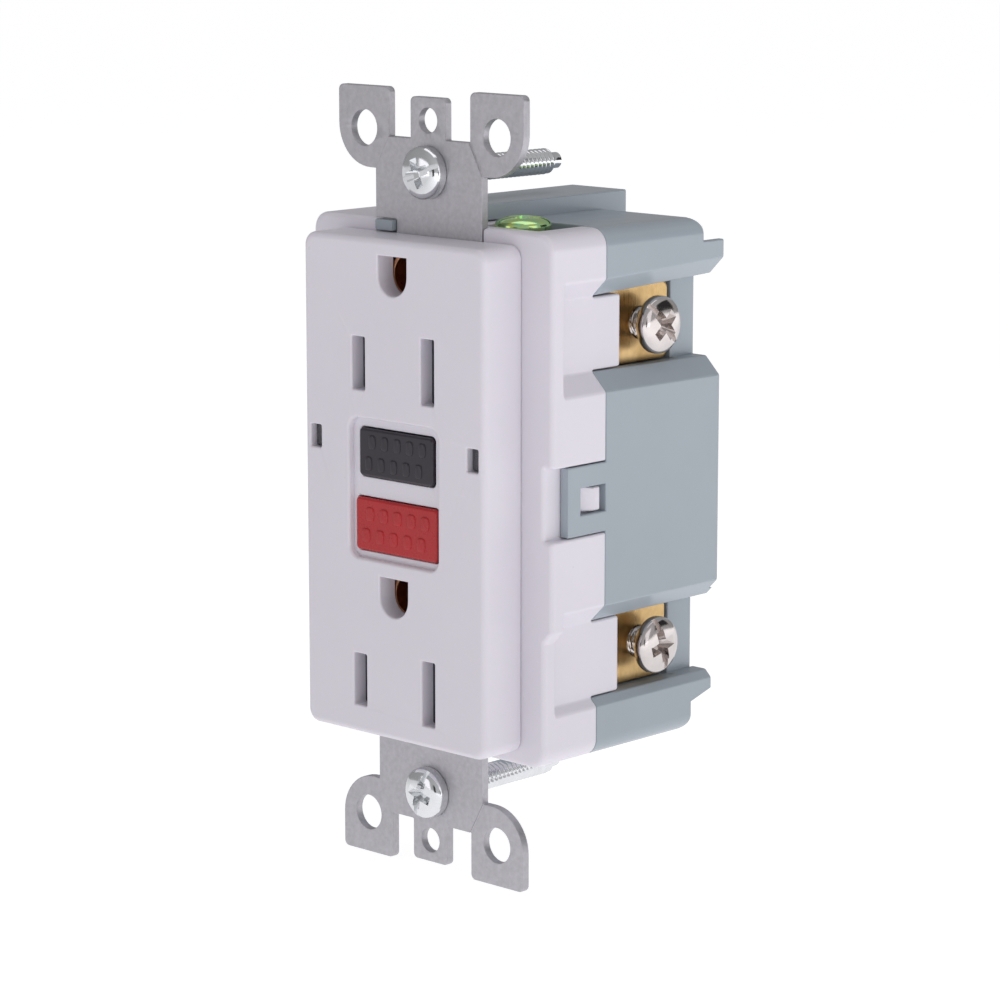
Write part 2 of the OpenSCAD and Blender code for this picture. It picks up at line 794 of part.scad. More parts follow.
module plunger_spring() {
  z0 = coil_z[0] + gap;
  color(steel) translate([0, coil_y, z0]) coil(0.9, 0.2, 5, plunger_z - gap - z0);
}

// ---- electronics ----

module circuit_board() {
  color([0.16, 0.4, 0.24]) difference() {
    along_y(board_y[0], board_y[1]) {
      square([24.2, 60.4], center = true);
      square([30, 23.6], center = true);
    }
    block([-mech_w / 2, 9, mech_z[0] - 0.2], [mech_w / 2, 14, 3.4]);
    for (x = [-1.8, 1.8]) rod_y(1.15, x, core_z, 9, 14);
  }
}

module sensor_cores() {
  color([0.3, 0.3, 0.33]) for (y = [14, 19.2]) difference() {
    rod_y(8.6, 0, core_z, y, y + 4.2);
    rod_y(5.2, 0, core_z, y - 1, y + 6);
  }
}

module sensor_case() {
  color([0.18, 0.18, 0.2]) difference() {
    rod_y(9.6, 0, core_z, 12.3, 24.4);
    difference() {
      rod_y(8.8, 0, core_z, 13.8, 25);
      rod_y(5, 0, core_z, 13, 26);
    }
    rod_y(4.2, 0, core_z, 12, 26);
  }
}

module line_conductors() {
  color(copper) for (x = [-1.8, 1.8]) rod_y(1.1, x, core_z, 9.6, 27);
}

module varistor() {
  color([0.1, 0.28, 0.55]) {
    rod_x(3.1, 16.1, -20, -11.4, -8.2);
    for (z = [-22, -18]) rod_y(0.35, -9.8, z, board_y[1] + 0.05, 15);
  }
}

module capacitors() {
  color([0.15, 0.17, 0.2]) {
    rod_y(2.3, 9.4, -17, board_y[1] + 0.1, 21);
    rod_y(2.3, 9.4, -24, board_y[1] + 0.1, 19);
  }
}

module resistors() {
  color([0.72, 0.6, 0.42]) for (x = [-10.4, 10.4]) rod_z(1, x, board_y[1] + 1.1, -10, -4);
}

module control_chip() {
  color([0.08, 0.08, 0.09]) {
    block([-3.4, board_y[1] + 0.1, -23], [3.4, board_y[1] + 1.6, -18]);
    for (x = [-4.1, 3.4]) for (i = [0:3])
      block([x, board_y[1] + 0.1, -22.5 + i * 1.27], [x + 0.7, board_y[1] + 0.6, -22.1 + i * 1.27]);
  }
}

module indicator_leds() {
  color([0.8, 0.9, 0.8]) both_sides()
    block([13.3, board_y[0] - 0.95, window_z - 0.9], [14.8, board_y[0] - 0.05, window_z + 0.9]);
}

module light_pipes() {
  color([0.5, 0.5, 0.5]) both_sides() {
    block([13.55, face_y + 1, window_z - 1.4], [14.75, board_y[0] - 1.05, window_z + 1.4]);
    block([13.55, face_y + 1, window_z - 1.4], [15.35, cover_back_y - gap, window_z + 1.4]);
  }
}

// ---- terminals ----

// fixed terminal: a threaded brass plate with a tail towards the board
module terminal(z) {
  difference() {
    union() {
      block([terminal_x[0], 12.6, z - 5], [terminal_x[1], 27.2, z + 5]);
      block([terminal_x[0], 9.8, z - 2], [terminal_x[1], 13, z + 2]);
    }
    rod_x(term_r + gap, term_y, z, 10, 16);
  }
}

// clamp plate that the screw carries in and out
module clamp(z) {
  difference() {
    along_x(clamp_x[0], clamp_x[1]) translate([19.4, z]) round_rect(15.4, 10.4, 1);
    rod_x(term_r + gap, term_y, z, 14, 19);
  }
}

// terminal screw with a pan head
module terminal_screw(z) {
  tip_x = 11.8;
  translate([tip_x, term_y, z]) rotate([0, 90, 0])
    screw(term_r, term_head_d / 2, term_head_h, 6.2, term_head_x - tip_x);
}

module line_neutral_terminal() {
  color(brass) terminal(line_z);
}

module load_neutral_terminal() {
  color(brass) terminal(load_z);
}

module line_hot_terminal() {
  color(brass) mirror([1, 0, 0]) terminal(line_z);
}

module load_hot_terminal() {
  color(brass) mirror([1, 0, 0]) terminal(load_z);
}

module line_neutral_clamp() {
  color(brass) clamp(line_z);
}

module load_neutral_clamp() {
  color(brass) clamp(load_z);
}

module line_hot_clamp() {
  color(brass) mirror([1, 0, 0]) clamp(line_z);
}

module load_hot_clamp() {
  color(brass) mirror([1, 0, 0]) clamp(load_z);
}

module line_neutral_screw() {
  color(nickel) terminal_screw(line_z);
}

module load_neutral_screw() {
  color(nickel) terminal_screw(load_z);
}

module line_hot_screw() {
  color(brass) mirror([1, 0, 0]) terminal_screw(line_z);
}

module load_hot_screw() {
  color(brass) mirror([1, 0, 0]) terminal_screw(load_z);
}

// ---- ground and mounting fasteners ----

module ground_washer() {
  color([0.9, 0.92, 0.9]) difference() {
    rod_z(3.9, ground_x, ground_y, 33.6, 34.3);
    rod_z(term_r + gap, ground_x, ground_y, 33, 35);
  }
}

module ground_screw() {
  tip_z = 26.4;
  color([0.2, 0.6, 0.35]) translate([ground_x, ground_y, tip_z])
    screw(term_r, 3.7, 1.95, 6, 36.3 - tip_z);
}

// box mounting screw: domed head in front of the strap, a thin neck and a plain pilot tip
module mounting_screw(z) {
  head_top = strap_t + gap + mount_head_h;
  translate([0, thread_y[0], z]) rotate([90, 0, 0])
    screw(neck_r, 3.5, mount_head_h, 4.9, thread_y[0] + head_top);
  rod_y(machine_r, 0, z, thread_y[0], thread_y[1]);
  rod_y(1.2, 0, z, thread_y[1] - eps, mount_tip_y);
}

module upper_mounting_screw() {
  color(steel) mounting_screw(box_screw_pitch / 2);
}

module lower_mounting_screw() {
  color(steel) mounting_screw(-box_screw_pitch / 2);
}

// fibre washers that keep the mounting screws in the strap
module screw_retainers() {
  color([0.75, 0.68, 0.55]) for (s = [-1, 1])
    translate([0, 0, s * box_screw_pitch / 2]) difference() {
      along_y(0.1, 0.9) round_rect(7.6, 6.6, 0.5);
      rod_y(machine_r + gap, 0, 0, -1, 2);
    }
}

module case_screws() {
  color(steel) for (p = case_points()) difference() {
    union() {
      rod_y(case_r, p[0], p[1], 3, case_head_y + 0.2);
      rod_y(case_head_r, p[0], p[1], case_head_y, case_head_y + 1.4);
    }
    block([p[0] - 1.2, case_head_y + 0.6, p[1] - 0.3], [p[0] + 1.2, 29, p[1] + 0.3]);
    block([p[0] - 0.3, case_head_y + 0.6, p[1] - 1.2], [p[0] + 0.3, 29, p[1] + 1.2]);
  }
}

face_cover();
middle_housing();
rear_housing();
mounting_strap();
ground_contacts();
test_button();
reset_button();
reset_pin();
reset_spring();
test_arm();
test_arm_pin();
test_contact();
upper_shutter();
lower_shutter();
upper_shutter_spring();
lower_shutter_spring();
shutter_retainers();
hot_face_contact();
neutral_face_contact();
line_hot_contact();
line_neutral_contact();
moving_contacts();
lifter_block();
lifter_springs();
latch_plate();
solenoid_bobbin();
solenoid_coil();
solenoid_frame();
plunger();
plunger_spring();
circuit_board();
sensor_cores();
sensor_case();
line_conductors();
varistor();
capacitors();
resistors();
control_chip();
indicator_leds();
light_pipes();
line_hot_terminal();
line_neutral_terminal();
load_hot_terminal();
load_neutral_terminal();
line_hot_clamp();
line_neutral_clamp();
load_hot_clamp();
load_neutral_clamp();
line_hot_screw();
line_neutral_screw();
load_hot_screw();
load_neutral_screw();
ground_screw();
ground_washer();
upper_mounting_screw();
lower_mounting_screw();
screw_retainers();
case_screws();
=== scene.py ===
"""A GFCI receptacle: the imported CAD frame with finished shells, screws, springs, windings and materials."""

import json
import math

import bmesh
import bpy
from mathutils import Matrix, Vector
from mathutils.geometry import delaunay_2d_cdt

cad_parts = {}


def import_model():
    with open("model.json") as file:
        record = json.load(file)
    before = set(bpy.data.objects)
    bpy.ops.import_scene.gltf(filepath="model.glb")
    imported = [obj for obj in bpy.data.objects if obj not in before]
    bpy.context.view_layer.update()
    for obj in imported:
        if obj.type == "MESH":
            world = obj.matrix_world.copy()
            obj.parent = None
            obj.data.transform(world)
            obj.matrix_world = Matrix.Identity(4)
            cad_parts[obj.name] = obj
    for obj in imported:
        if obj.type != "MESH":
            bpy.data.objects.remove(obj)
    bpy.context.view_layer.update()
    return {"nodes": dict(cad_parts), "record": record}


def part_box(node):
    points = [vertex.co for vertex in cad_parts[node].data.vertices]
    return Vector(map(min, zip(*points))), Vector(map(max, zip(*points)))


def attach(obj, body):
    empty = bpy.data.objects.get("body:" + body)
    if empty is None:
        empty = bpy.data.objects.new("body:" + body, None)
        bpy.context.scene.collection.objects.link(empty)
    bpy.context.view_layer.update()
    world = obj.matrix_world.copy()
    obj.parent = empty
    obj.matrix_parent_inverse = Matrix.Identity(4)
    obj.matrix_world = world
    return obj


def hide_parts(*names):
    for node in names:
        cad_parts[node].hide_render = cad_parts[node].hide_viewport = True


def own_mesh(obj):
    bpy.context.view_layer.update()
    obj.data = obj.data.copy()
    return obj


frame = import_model()
MM = 0.001
FULL_TURN = 2 * math.pi
INSIDE_OUTLINE = 1  # the kind of fill asked of delaunay_2d_cdt
FACE_STRENGTH = "__mod_weightednormals_faceweight"  # where a bevel notes which faces are its own
MERGE_DISTANCE = 0.002 * MM
FLAT_ANGLE = math.radians(0.4)  # faces that meet at less than this are one flat face
ROUNDED_ANGLE = math.radians(28)  # edges that are sharper than this are rounded
SAME_PLANE = 0.999995  # cosine between the normals of faces in one plane
NODES = frame["nodes"]
BODY_OF = {n: b for b, members in frame["record"]["behaviour"]["bodies"].items() for n in members}
SLOT_OF = {s["node"]: s["material_slot"] for s in frame["record"]["subparts"]}
BOXES = {node: [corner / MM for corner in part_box(node)] for node in NODES}


# ---------------------------------------------------------------- node boxes in millimetres

def low(node):
    """Lowest corner of a CAD node, in millimetres."""
    return BOXES[node][0].copy()


def high(node):
    """Highest corner of a CAD node, in millimetres."""
    return BOXES[node][1].copy()


def middle(node):
    """Centre of a CAD node's box, in millimetres."""
    return (low(node) + high(node)) / 2


# ---------------------------------------------------------------- materials

def shader(name):
    """A new node material; returns it with a function that adds nodes and one that joins sockets."""
    material = bpy.data.materials.new(name)
    material.use_nodes = True
    tree = material.node_tree
    tree.nodes.clear()

    def add(kind, **inputs):
        node = tree.nodes.new("ShaderNode" + kind)
        for key, value in inputs.items():
            key = key.replace("_", " ")
            if key in node.inputs:
                node.inputs[key].default_value = value
            else:
                setattr(node, key.replace(" ", "_"), value)
        return node

    def join(source, output, target, socket):
        tree.links.new(source.outputs[output], target.inputs[socket])

    return material, add, join


def ramp(add, positions, colours):
    """A colour ramp with the given stops."""
    node = add("ValToRGB")
    elements = node.color_ramp.elements
    while len(elements) < len(positions):
        elements.new(0.5)
    for element, position, colour in zip(elements, positions, colours):
        element.position = position
        element.color = (*colour, 1.0)
    return node


def shade(colour, factor):
    return tuple(min(1.0, c * factor) for c in colour)


# socket numbers of the Mix node for colours; its names repeat for each data type
MIX_FACTOR, MIX_A, MIX_B, MIX_RESULT = 0, 6, 7, 2


def finish(name, colour, metallic=0.0, roughness=0.4, spread=0.08, grain=4000.0, grain_depth=0.004,
           blotch=90.0, contrast=0.05, stretch=(1.0, 1.0, 1.0), coat=0.0, tint=None, specks=0.0,
           subsurface=0.0, transmission=0.0):
    """A procedural finish: cloudy colour, uneven gloss and a fine grain, in object space.

    grain and blotch are in features per metre, grain_depth is in millimetres, and stretch draws the
    grain out along the axes with small numbers, as rolling or brushing does.
    """
    material, add, join = shader(name)
    place = add("TexCoord")
    scale = add("Mapping")
    scale.inputs["Scale"].default_value = stretch
    join(place, "Object", scale, "Vector")

    cloud = add("TexNoise", Scale=blotch, Detail=5.0, Roughness=0.6)
    join(place, "Object", cloud, "Vector")
    fine = add("TexNoise", Scale=grain, Detail=4.0, Roughness=0.55)
    join(scale, "Vector", fine, "Vector")

    deep = tint if tint else shade(colour, 1.0 - contrast)
    tone = ramp(add, (0.32, 0.68), (deep, shade(colour, 1.0 + contrast)))
    join(cloud, "Fac", tone, "Fac")
    colour_node, colour_socket = tone, "Color"
    if specks:
        dust = add("TexVoronoi", Scale=420.0)
        join(place, "Object", dust, "Vector")
        dot = ramp(add, (0.0, specks, specks * 1.6), ((1, 1, 1), (1, 1, 1), (0, 0, 0)))
        join(dust, "Distance", dot, "Fac")
        mixer = add("Mix", data_type="RGBA")
        join(dot, "Color", mixer, MIX_FACTOR)
        join(tone, "Color", mixer, MIX_A)
        mixer.inputs[MIX_B].default_value = (*shade(colour, 0.86), 1.0)
        colour_node, colour_socket = mixer, MIX_RESULT

    gloss = add("MapRange")
    gloss.inputs["To Min"].default_value = max(0.02, roughness - spread)
    gloss.inputs["To Max"].default_value = roughness + spread
    smear = add("TexNoise", Scale=blotch * 7.0, Detail=3.0)
    join(scale, "Vector", smear, "Vector")
    join(smear, "Fac", gloss, "Value")

    bump = add("Bump", Strength=0.6, Distance=grain_depth * MM)
    join(fine, "Fac", bump, "Height")

    surface = add("BsdfPrincipled", Metallic=metallic)
    surface.inputs["Coat Weight"].default_value = coat
    surface.inputs["Coat Roughness"].default_value = 0.12
    surface.inputs["Transmission Weight"].default_value = transmission
    surface.inputs["Subsurface Weight"].default_value = subsurface
    surface.inputs["Subsurface Scale"].default_value = 1.2 * MM
    join(colour_node, colour_socket, surface, "Base Color")
    join(gloss, "Result", surface, "Roughness")
    join(bump, "Normal", surface, "Normal")
    out = add("OutputMaterial")
    join(surface, "BSDF", out, "Surface")
    return material


BRUSHED_Z = (1.0, 1.0, 0.03)
FINISHES = {
    "white": finish("white_plastic", (0.775, 0.742, 0.798), roughness=0.3, spread=0.05, grain=5200.0,
                    grain_depth=0.003, blotch=60.0, contrast=0.012, specks=0.012, subsurface=0.06),
    "grey": finish("grey_plastic", (0.365, 0.414, 0.452), roughness=0.23, spread=0.04, grain=4200.0,
                   grain_depth=0.003, blotch=70.0, contrast=0.02, specks=0.008),
    "zinc": finish("zinc_strap", (0.50, 0.49, 0.51), metallic=0.8, roughness=0.47, spread=0.1,
                   grain=3000.0, grain_depth=0.012, blotch=1500.0, contrast=0.08),
    "zinc_screw": finish("bright_zinc", (0.80, 0.81, 0.82), metallic=1.0, roughness=0.13, spread=0.05,
                         grain=2400.0, grain_depth=0.003, blotch=500.0, contrast=0.04),
    "steel": finish("spring_steel", (0.56, 0.56, 0.57), metallic=1.0, roughness=0.26, spread=0.08,
                    grain=2500.0, grain_depth=0.003, blotch=300.0, contrast=0.08, stretch=BRUSHED_Z),
    "brass": finish("rolled_brass", (0.60, 0.42, 0.20), metallic=1.0, roughness=0.3, spread=0.1,
                    grain=3000.0, grain_depth=0.004, blotch=240.0, contrast=0.12,
                    tint=(0.42, 0.27, 0.11), stretch=(1.0, 1.0, 0.05)),
    "brass_screw": finish("plated_brass", (0.80, 0.60, 0.27), metallic=1.0, roughness=0.17, spread=0.06,
                          grain=2500.0, grain_depth=0.003, blotch=420.0, contrast=0.07),
    "nickel_screw": finish("bright_nickel", (0.63, 0.585, 0.565), metallic=1.0, roughness=0.13,
                           spread=0.05, grain=2500.0, grain_depth=0.003, blotch=420.0, contrast=0.06),
    "copper": finish("contact_copper", (0.70, 0.36, 0.20), metallic=1.0, roughness=0.3, spread=0.09,
                     grain=2600.0, grain_depth=0.004, blotch=320.0, contrast=0.12, stretch=BRUSHED_Z),
    "green_screw": finish("green_plating", (0.33, 0.66, 0.38), metallic=1.0, roughness=0.15,
                          spread=0.06, grain=2400.0, grain_depth=0.003, blotch=900.0, contrast=0.2,
                          tint=(0.66, 0.78, 0.24)),
    "black_key": finish("black_key_plastic", (0.025, 0.019, 0.027), roughness=0.31, spread=0.06,
                        grain=4600.0, grain_depth=0.003, blotch=160.0, contrast=0.08),
    "red_key": finish("red_key_plastic", (0.46, 0.014, 0.017), roughness=0.28, spread=0.06, grain=4600.0,
                      grain_depth=0.003, blotch=160.0, contrast=0.06),
    "shutter": finish("shutter_plastic", (0.125, 0.12, 0.155), roughness=0.4, spread=0.08, grain=3800.0,
                      grain_depth=0.005, blotch=200.0, contrast=0.06),
    "dark_plastic": finish("dark_plastic", (0.035, 0.037, 0.042), roughness=0.38, spread=0.08,
                           grain=3600.0, grain_depth=0.006, blotch=180.0, contrast=0.1),
    "bobbin": finish("nylon", (0.72, 0.69, 0.57), roughness=0.42, spread=0.06, grain=3600.0,
                     grain_depth=0.004, blotch=140.0, contrast=0.03, subsurface=0.1),
    "winding": finish("enamelled_copper", (0.52, 0.17, 0.055), metallic=0.9, roughness=0.22, spread=0.06,
                      grain=2500.0, grain_depth=0.002, blotch=500.0, contrast=0.12, coat=0.5),
    "core": finish("core_tape", (0.05, 0.05, 0.055), metallic=0.6, roughness=0.45, spread=0.1,
                   grain=3200.0, grain_depth=0.005, blotch=300.0, contrast=0.15),
    "board": finish("solder_mask", (0.012, 0.12, 0.045), roughness=0.28, spread=0.06, grain=1900.0,
                    grain_depth=0.006, blotch=420.0, contrast=0.15, coat=0.3),
    "varistor": finish("varistor_epoxy", (0.02, 0.09, 0.30), roughness=0.25, spread=0.07, grain=1800.0,
                       grain_depth=0.012, blotch=350.0, contrast=0.12, coat=0.4),
    "resistor": finish("resistor_coat", (0.58, 0.42, 0.25), roughness=0.35, spread=0.06, grain=3000.0,
                       grain_depth=0.005, blotch=350.0, contrast=0.06),
    "clear": finish("smoky_clear", (0.16, 0.155, 0.17), roughness=0.14, spread=0.05, grain=2600.0,
                    grain_depth=0.003, blotch=300.0, contrast=0.1, transmission=0.55),
    "fibre": finish("pressed_fibre", (0.52, 0.42, 0.27), roughness=0.75, spread=0.08, grain=2600.0,
                    grain_depth=0.02, blotch=800.0, contrast=0.14),
}


# ---------------------------------------------------------------- pieces

def add_object(name, mesh, body, slot, hides=()):
    """Links a mesh as a piece of the object and gives it its finish."""
    obj = bpy.data.objects.new(name, mesh)
    bpy.context.scene.collection.objects.link(obj)
    mesh.materials.clear()
    mesh.materials.append(FINISHES[slot])
    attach(obj, body)
    if hides:
        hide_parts(*hides)
    return obj


def smooth_by_angle(mesh, degrees=32.0):
    """Smooth shading that stays crisp over edges steeper than the angle."""
    for polygon in mesh.polygons:
        polygon.use_smooth = True
    mesh.set_sharp_from_angle(angle=math.radians(degrees))


def with_edge_widths(mesh, width_at, widest):
    """A copy of a mesh with its flat faces merged and each sharp edge marked with its share of widest."""
    bm = bmesh.new()
    bm.from_mesh(mesh)
    bmesh.ops.remove_doubles(bm, verts=bm.verts, dist=MERGE_DISTANCE)
    bmesh.ops.dissolve_limit(bm, angle_limit=FLAT_ANGLE, verts=bm.verts, edges=bm.edges)
    weights = bm.edges.layers.float.new("bevel_weight_edge")
    for edge in bm.edges:
        if len(edge.link_faces) != 2 or edge.calc_face_angle() < ROUNDED_ANGLE:
            continue
        hollow = edge.calc_face_angle_signed() < 0
        a, b = (v.co / MM for v in edge.verts)
        edge[weights] = width_at((a + b) / 2, (b - a).normalized(), hollow) / widest
    plain = bpy.data.meshes.new("plain")
    bm.to_mesh(plain)
    bm.free()
    return plain


def round_edges(mesh, width_at, widest, segments):
    """A bmesh of a mesh whose marked edges have been rounded."""
    obj = bpy.data.objects.new("plain", with_edge_widths(mesh, width_at, widest))
    bpy.context.scene.collection.objects.link(obj)
    bevel = obj.modifiers.new("round_edges", "BEVEL")
    bevel.limit_method = "WEIGHT"
    bevel.width = widest * MM
    bevel.segments = segments
    bevel.use_clamp_overlap = False
    bevel.miter_outer = "MITER_ARC"
    bevel.loop_slide = False
    bevel.face_strength_mode = "FSTR_ALL"
    rounded = bpy.data.meshes.new_from_object(obj.evaluated_get(bpy.context.evaluated_depsgraph_get()))
    bpy.data.objects.remove(obj)
    bm = bmesh.new()
    bm.from_mesh(rounded)
    bpy.data.meshes.remove(rounded)
    return bm


def flat_regions(bm):
    """Connected groups of faces that lie in one plane and hold at least one face with many corners."""
    seen, regions = set(), []
    for start in bm.faces:
        if start in seen or len(start.verts) < 5:
            continue
        seen.add(start)
        region, queue = [start], [start]
        while queue:
            for edge in queue.pop().edges:
                for face in edge.link_faces:
                    if face not in seen and face.normal.dot(start.normal) > SAME_PLANE:
                        seen.add(face)
                        region.append(face)
                        queue.append(face)
        regions.append(region)
    return regions


def is_inside(points, face, corners, pairs):
    """Whether a triangle's centre is inside an outline with holes.

    It is when a ray to the right crosses the outline an odd number of times.
    """
    x = sum(points[i][0] for i in face) / len(face)
    y = sum(points[i][1] for i in face) / len(face)
    crossings = 0
    for i, j in pairs:
        a, b = corners[i], corners[j]
        if (a.y > y) != (b.y > y) and x < a.x + (y - a.y) / (b.y - a.y) * (b.x - a.x):
            crossings += 1
    return crossings % 2 == 1


def refill(bm):
    """Fills each flat region anew from its outline, so that faces with holes stay whole."""
    bm.normal_update()
    strength = bm.faces.layers.int.get(FACE_STRENGTH)
    for region in flat_regions(bm):
        members = set(region)
        normal = max(region, key=lambda face: len(face.verts)).normal.copy()
        across = normal.orthogonal().normalized()
        upward = normal.cross(across)
        rim = [e for f in region for e in f.edges if sum(g in members for g in e.link_faces) == 1]
        rim = list(dict.fromkeys(rim))
        corners = list(dict.fromkeys(v for e in rim for v in e.verts))
        number = {v: i for i, v in enumerate(corners)}
        flat = [Vector((v.co.dot(across), v.co.dot(upward))) / MM for v in corners]
        pairs = [(number[e.verts[0]], number[e.verts[1]]) for e in rim]
        points, _, faces, origin, _, _ = delaunay_2d_cdt(flat, pairs, [], INSIDE_OUTLINE, 1e-5)
        faces = [face for face in faces if is_inside(points, face, flat, pairs)]
        depth = corners[0].co.dot(normal)
        weight = max(face[strength] for face in region)
        made = []
        for point, source in zip(points, origin):
            if source:
                made.append(corners[source[0]])
            else:
                place = (across * point[0] + upward * point[1]) * MM + normal * depth
                made.append(bm.verts.new(place))
        inner = [e for f in region for e in f.edges if sum(g in members for g in e.link_faces) == 2]
        bmesh.ops.delete(bm, geom=region, context="FACES_ONLY")
        bmesh.ops.delete(bm, geom=list(dict.fromkeys(inner)), context="EDGES")
        for face in faces:
            ring = [made[i] for i in face]
            if len(set(ring)) < 3:
                continue
            new = bm.faces.get(ring) or bm.faces.new(ring)
            new[strength] = weight
            new.normal_update()
            if new.normal.dot(normal) < 0:
                new.normal_flip()


def from_node(node, name, width_at, widest, segments=3):
    """A finished copy of a CAD node: its flat faces are merged and its edges rounded.

    width_at(point, direction, hollow) gives the radius in millimetres for an edge with that middle
    point, and hollow is true for an inside corner. widest is the largest radius it returns.
    """
    bm = round_edges(NODES[node].data, width_at, widest, segments)
    refill(bm)
    mesh = bpy.data.meshes.new(name)
    bm.to_mesh(mesh)
    bm.free()
    for attribute in ("custom_normal", "bevel_weight_edge"):
        if attribute in mesh.attributes:
            mesh.attributes.remove(mesh.attributes[attribute])
    obj = add_object(name, mesh, BODY_OF[node], SLOT_OF[node], hides=(node,))
    smooth_by_angle(mesh, 40)
    settle = obj.modifiers.new("flat_faces_stay_flat", "WEIGHTED_NORMAL")
    settle.keep_sharp = True
    settle.use_face_influence = True


# ---------------------------------------------------------------- mesh code

def grid_faces(rings, size, first=0):
    """Quads between closed rings of equal size."""
    faces = []
    for ring in range(rings - 1):
        for i in range(size):
            a = first + ring * size + i
            b = first + ring * size + (i + 1) % size
            faces.append((a, b, b + size, a + size))
    return faces


def tube(rings):
    """Vertices and faces of a closed tube through rings of points, capped at both ends."""
    size = len(rings[0])
    verts = [point for ring in rings for point in ring]
    faces = grid_faces(len(rings), size)
    faces.append(tuple(reversed(range(size))))
    faces.append(tuple(range(len(verts) - size, len(verts))))
    return verts, faces


def circle(radius, z, count, wobble=None):
    """A ring of points about Z; wobble(angle) adds to the radius."""
    ring = []
    for i in range(count):
        angle = FULL_TURN * i / count
        r = radius + (wobble(angle) if wobble else 0.0)
        ring.append((r * math.cos(angle), r * math.sin(angle), z))
    return ring


def lathe(profile, count=64):
    """A solid of revolution about Z from (radius, z) points that start and end near the axis."""
    return tube([circle(max(r, 0.004), z, count) for r, z in profile])


def make_mesh(name, parts, matrix=None):
    """One mesh from a list of (verts, faces) in millimetres, moved by matrix and turned into metres."""
    bm = bmesh.new()
    for verts, faces in parts:
        new = [bm.verts.new(v) for v in verts]
        for face in faces:
            bm.faces.new([new[i] for i in face])
    bmesh.ops.recalc_face_normals(bm, faces=bm.faces)
    if matrix is not None:
        bmesh.ops.transform(bm, matrix=matrix, verts=bm.verts)
    bmesh.ops.scale(bm, vec=(MM, MM, MM), verts=bm.verts)
    mesh = bpy.data.meshes.new(name)
    bm.to_mesh(mesh)
    bm.free()
    return mesh


def along(axis, origin, spin=0.0):
    """A matrix that takes local Z to axis and the local origin to a point, after a turn about Z."""
    turn = Vector((0, 0, 1)).rotation_difference(Vector(axis)).to_matrix().to_4x4()
    return Matrix.Translation(Vector(origin)) @ turn @ Matrix.Rotation(spin, 4, "Z")


def frustum(length, width, length_low, width_low, z_high, z_low):
    """A box about Z that tapers from its upper to its lower end."""
    rings = []
    for lx, wy, z in ((length_low, width_low, z_low), (length, width, z_high)):
        x, y = lx / 2, wy / 2
        rings.append([(-x, -y, z), (x, -y, z), (x, y, z), (-x, y, z)])
    return tube(rings)


def combine(base, other, operation):
    """An exact boolean of two meshes; the second mesh is used up."""
    first = bpy.data.objects.new("first", base)
    second = bpy.data.objects.new("second", other)
    for obj in (first, second):
        bpy.context.scene.collection.objects.link(obj)
    modifier = first.modifiers.new("cut", "BOOLEAN")
    modifier.object = second
    modifier.operation = operation
    modifier.solver = "EXACT"
    result = bpy.data.meshes.new_from_object(first.evaluated_get(bpy.context.evaluated_depsgraph_get()))
    for obj in (first, second):
        bpy.data.objects.remove(obj)
    bpy.data.meshes.remove(other)
    return result


# ---------------------------------------------------------------- screws

THREAD_PITCH = 0.794  # 32 turns to the inch, in millimetres
THREAD_SIDES = 40
STEPS_A_TURN = 8


def thread(radius, depth, z0, z1, tip=0.3):
    """A threaded rod about Z: a cylinder whose radius follows a helix, run out over tip at both ends."""
    count = max(2, round((z1 - z0) / THREAD_PITCH * STEPS_A_TURN))
    rings = []
    for i in range(count + 1):
        z = z0 + (z1 - z0) * i / count
        run_out = min(1.0, (z - z0) / tip + 0.15, (z1 - z) / tip + 0.4)

        def cut(angle, z=z, run_out=run_out):
            phase = (z / THREAD_PITCH - angle / FULL_TURN) % 1.0
            crest = min(1.0, 1.25 * abs(2 * phase - 1))
            return -depth * (1 - crest) - depth * 0.9 * (1 - run_out)

        rings.append(circle(radius, z, THREAD_SIDES, cut))
    return tube(rings)


def pan_head(radius, z0, edge, z1, power=2.5, sides=72, steps=12):
    """A pan head about Z with a softened lower rim and a crowned top."""
    soft = 0.16
    profile = [(0, z0), (radius - soft, z0), (radius - soft * 0.3, z0 + soft * 0.3), (radius, z0 + soft)]
    for i in range(steps + 1):
        turn = math.pi / 2 * (1 - i / steps)
        r = radius * math.sin(turn) ** (2 / power)
        z = z0 + edge + (z1 - z0 - edge) * math.cos(turn) ** (2 / power) if i else z0 + edge
        profile.append((r, z))
    return lathe(profile, sides)


def recess_cutters(name, z1, reach):
    """A cross recess and a full slot, sunk from the head's top at z1, sized to the head's radius."""
    above = 0.4
    long_top, wide_top = reach * 1.3, reach * 0.42
    long_low, wide_low = reach * 0.5, reach * 0.2
    sunk = z1 - reach * 0.42
    grow = 1 + above / (z1 - sunk) * 0.3
    wing = frustum(long_top * grow, wide_top, long_low, wide_low, z1 + above, sunk)
    verts, faces = wing
    crossed = ([(-y, x, z) for x, y, z in verts], faces)
    slot = frustum(reach * 2.4, reach * 0.2, reach * 2.4, reach * 0.17, z1 + above, z1 - reach * 0.27)
    return [make_mesh(name + "_cutter", [shape]) for shape in (wing, crossed, slot)]


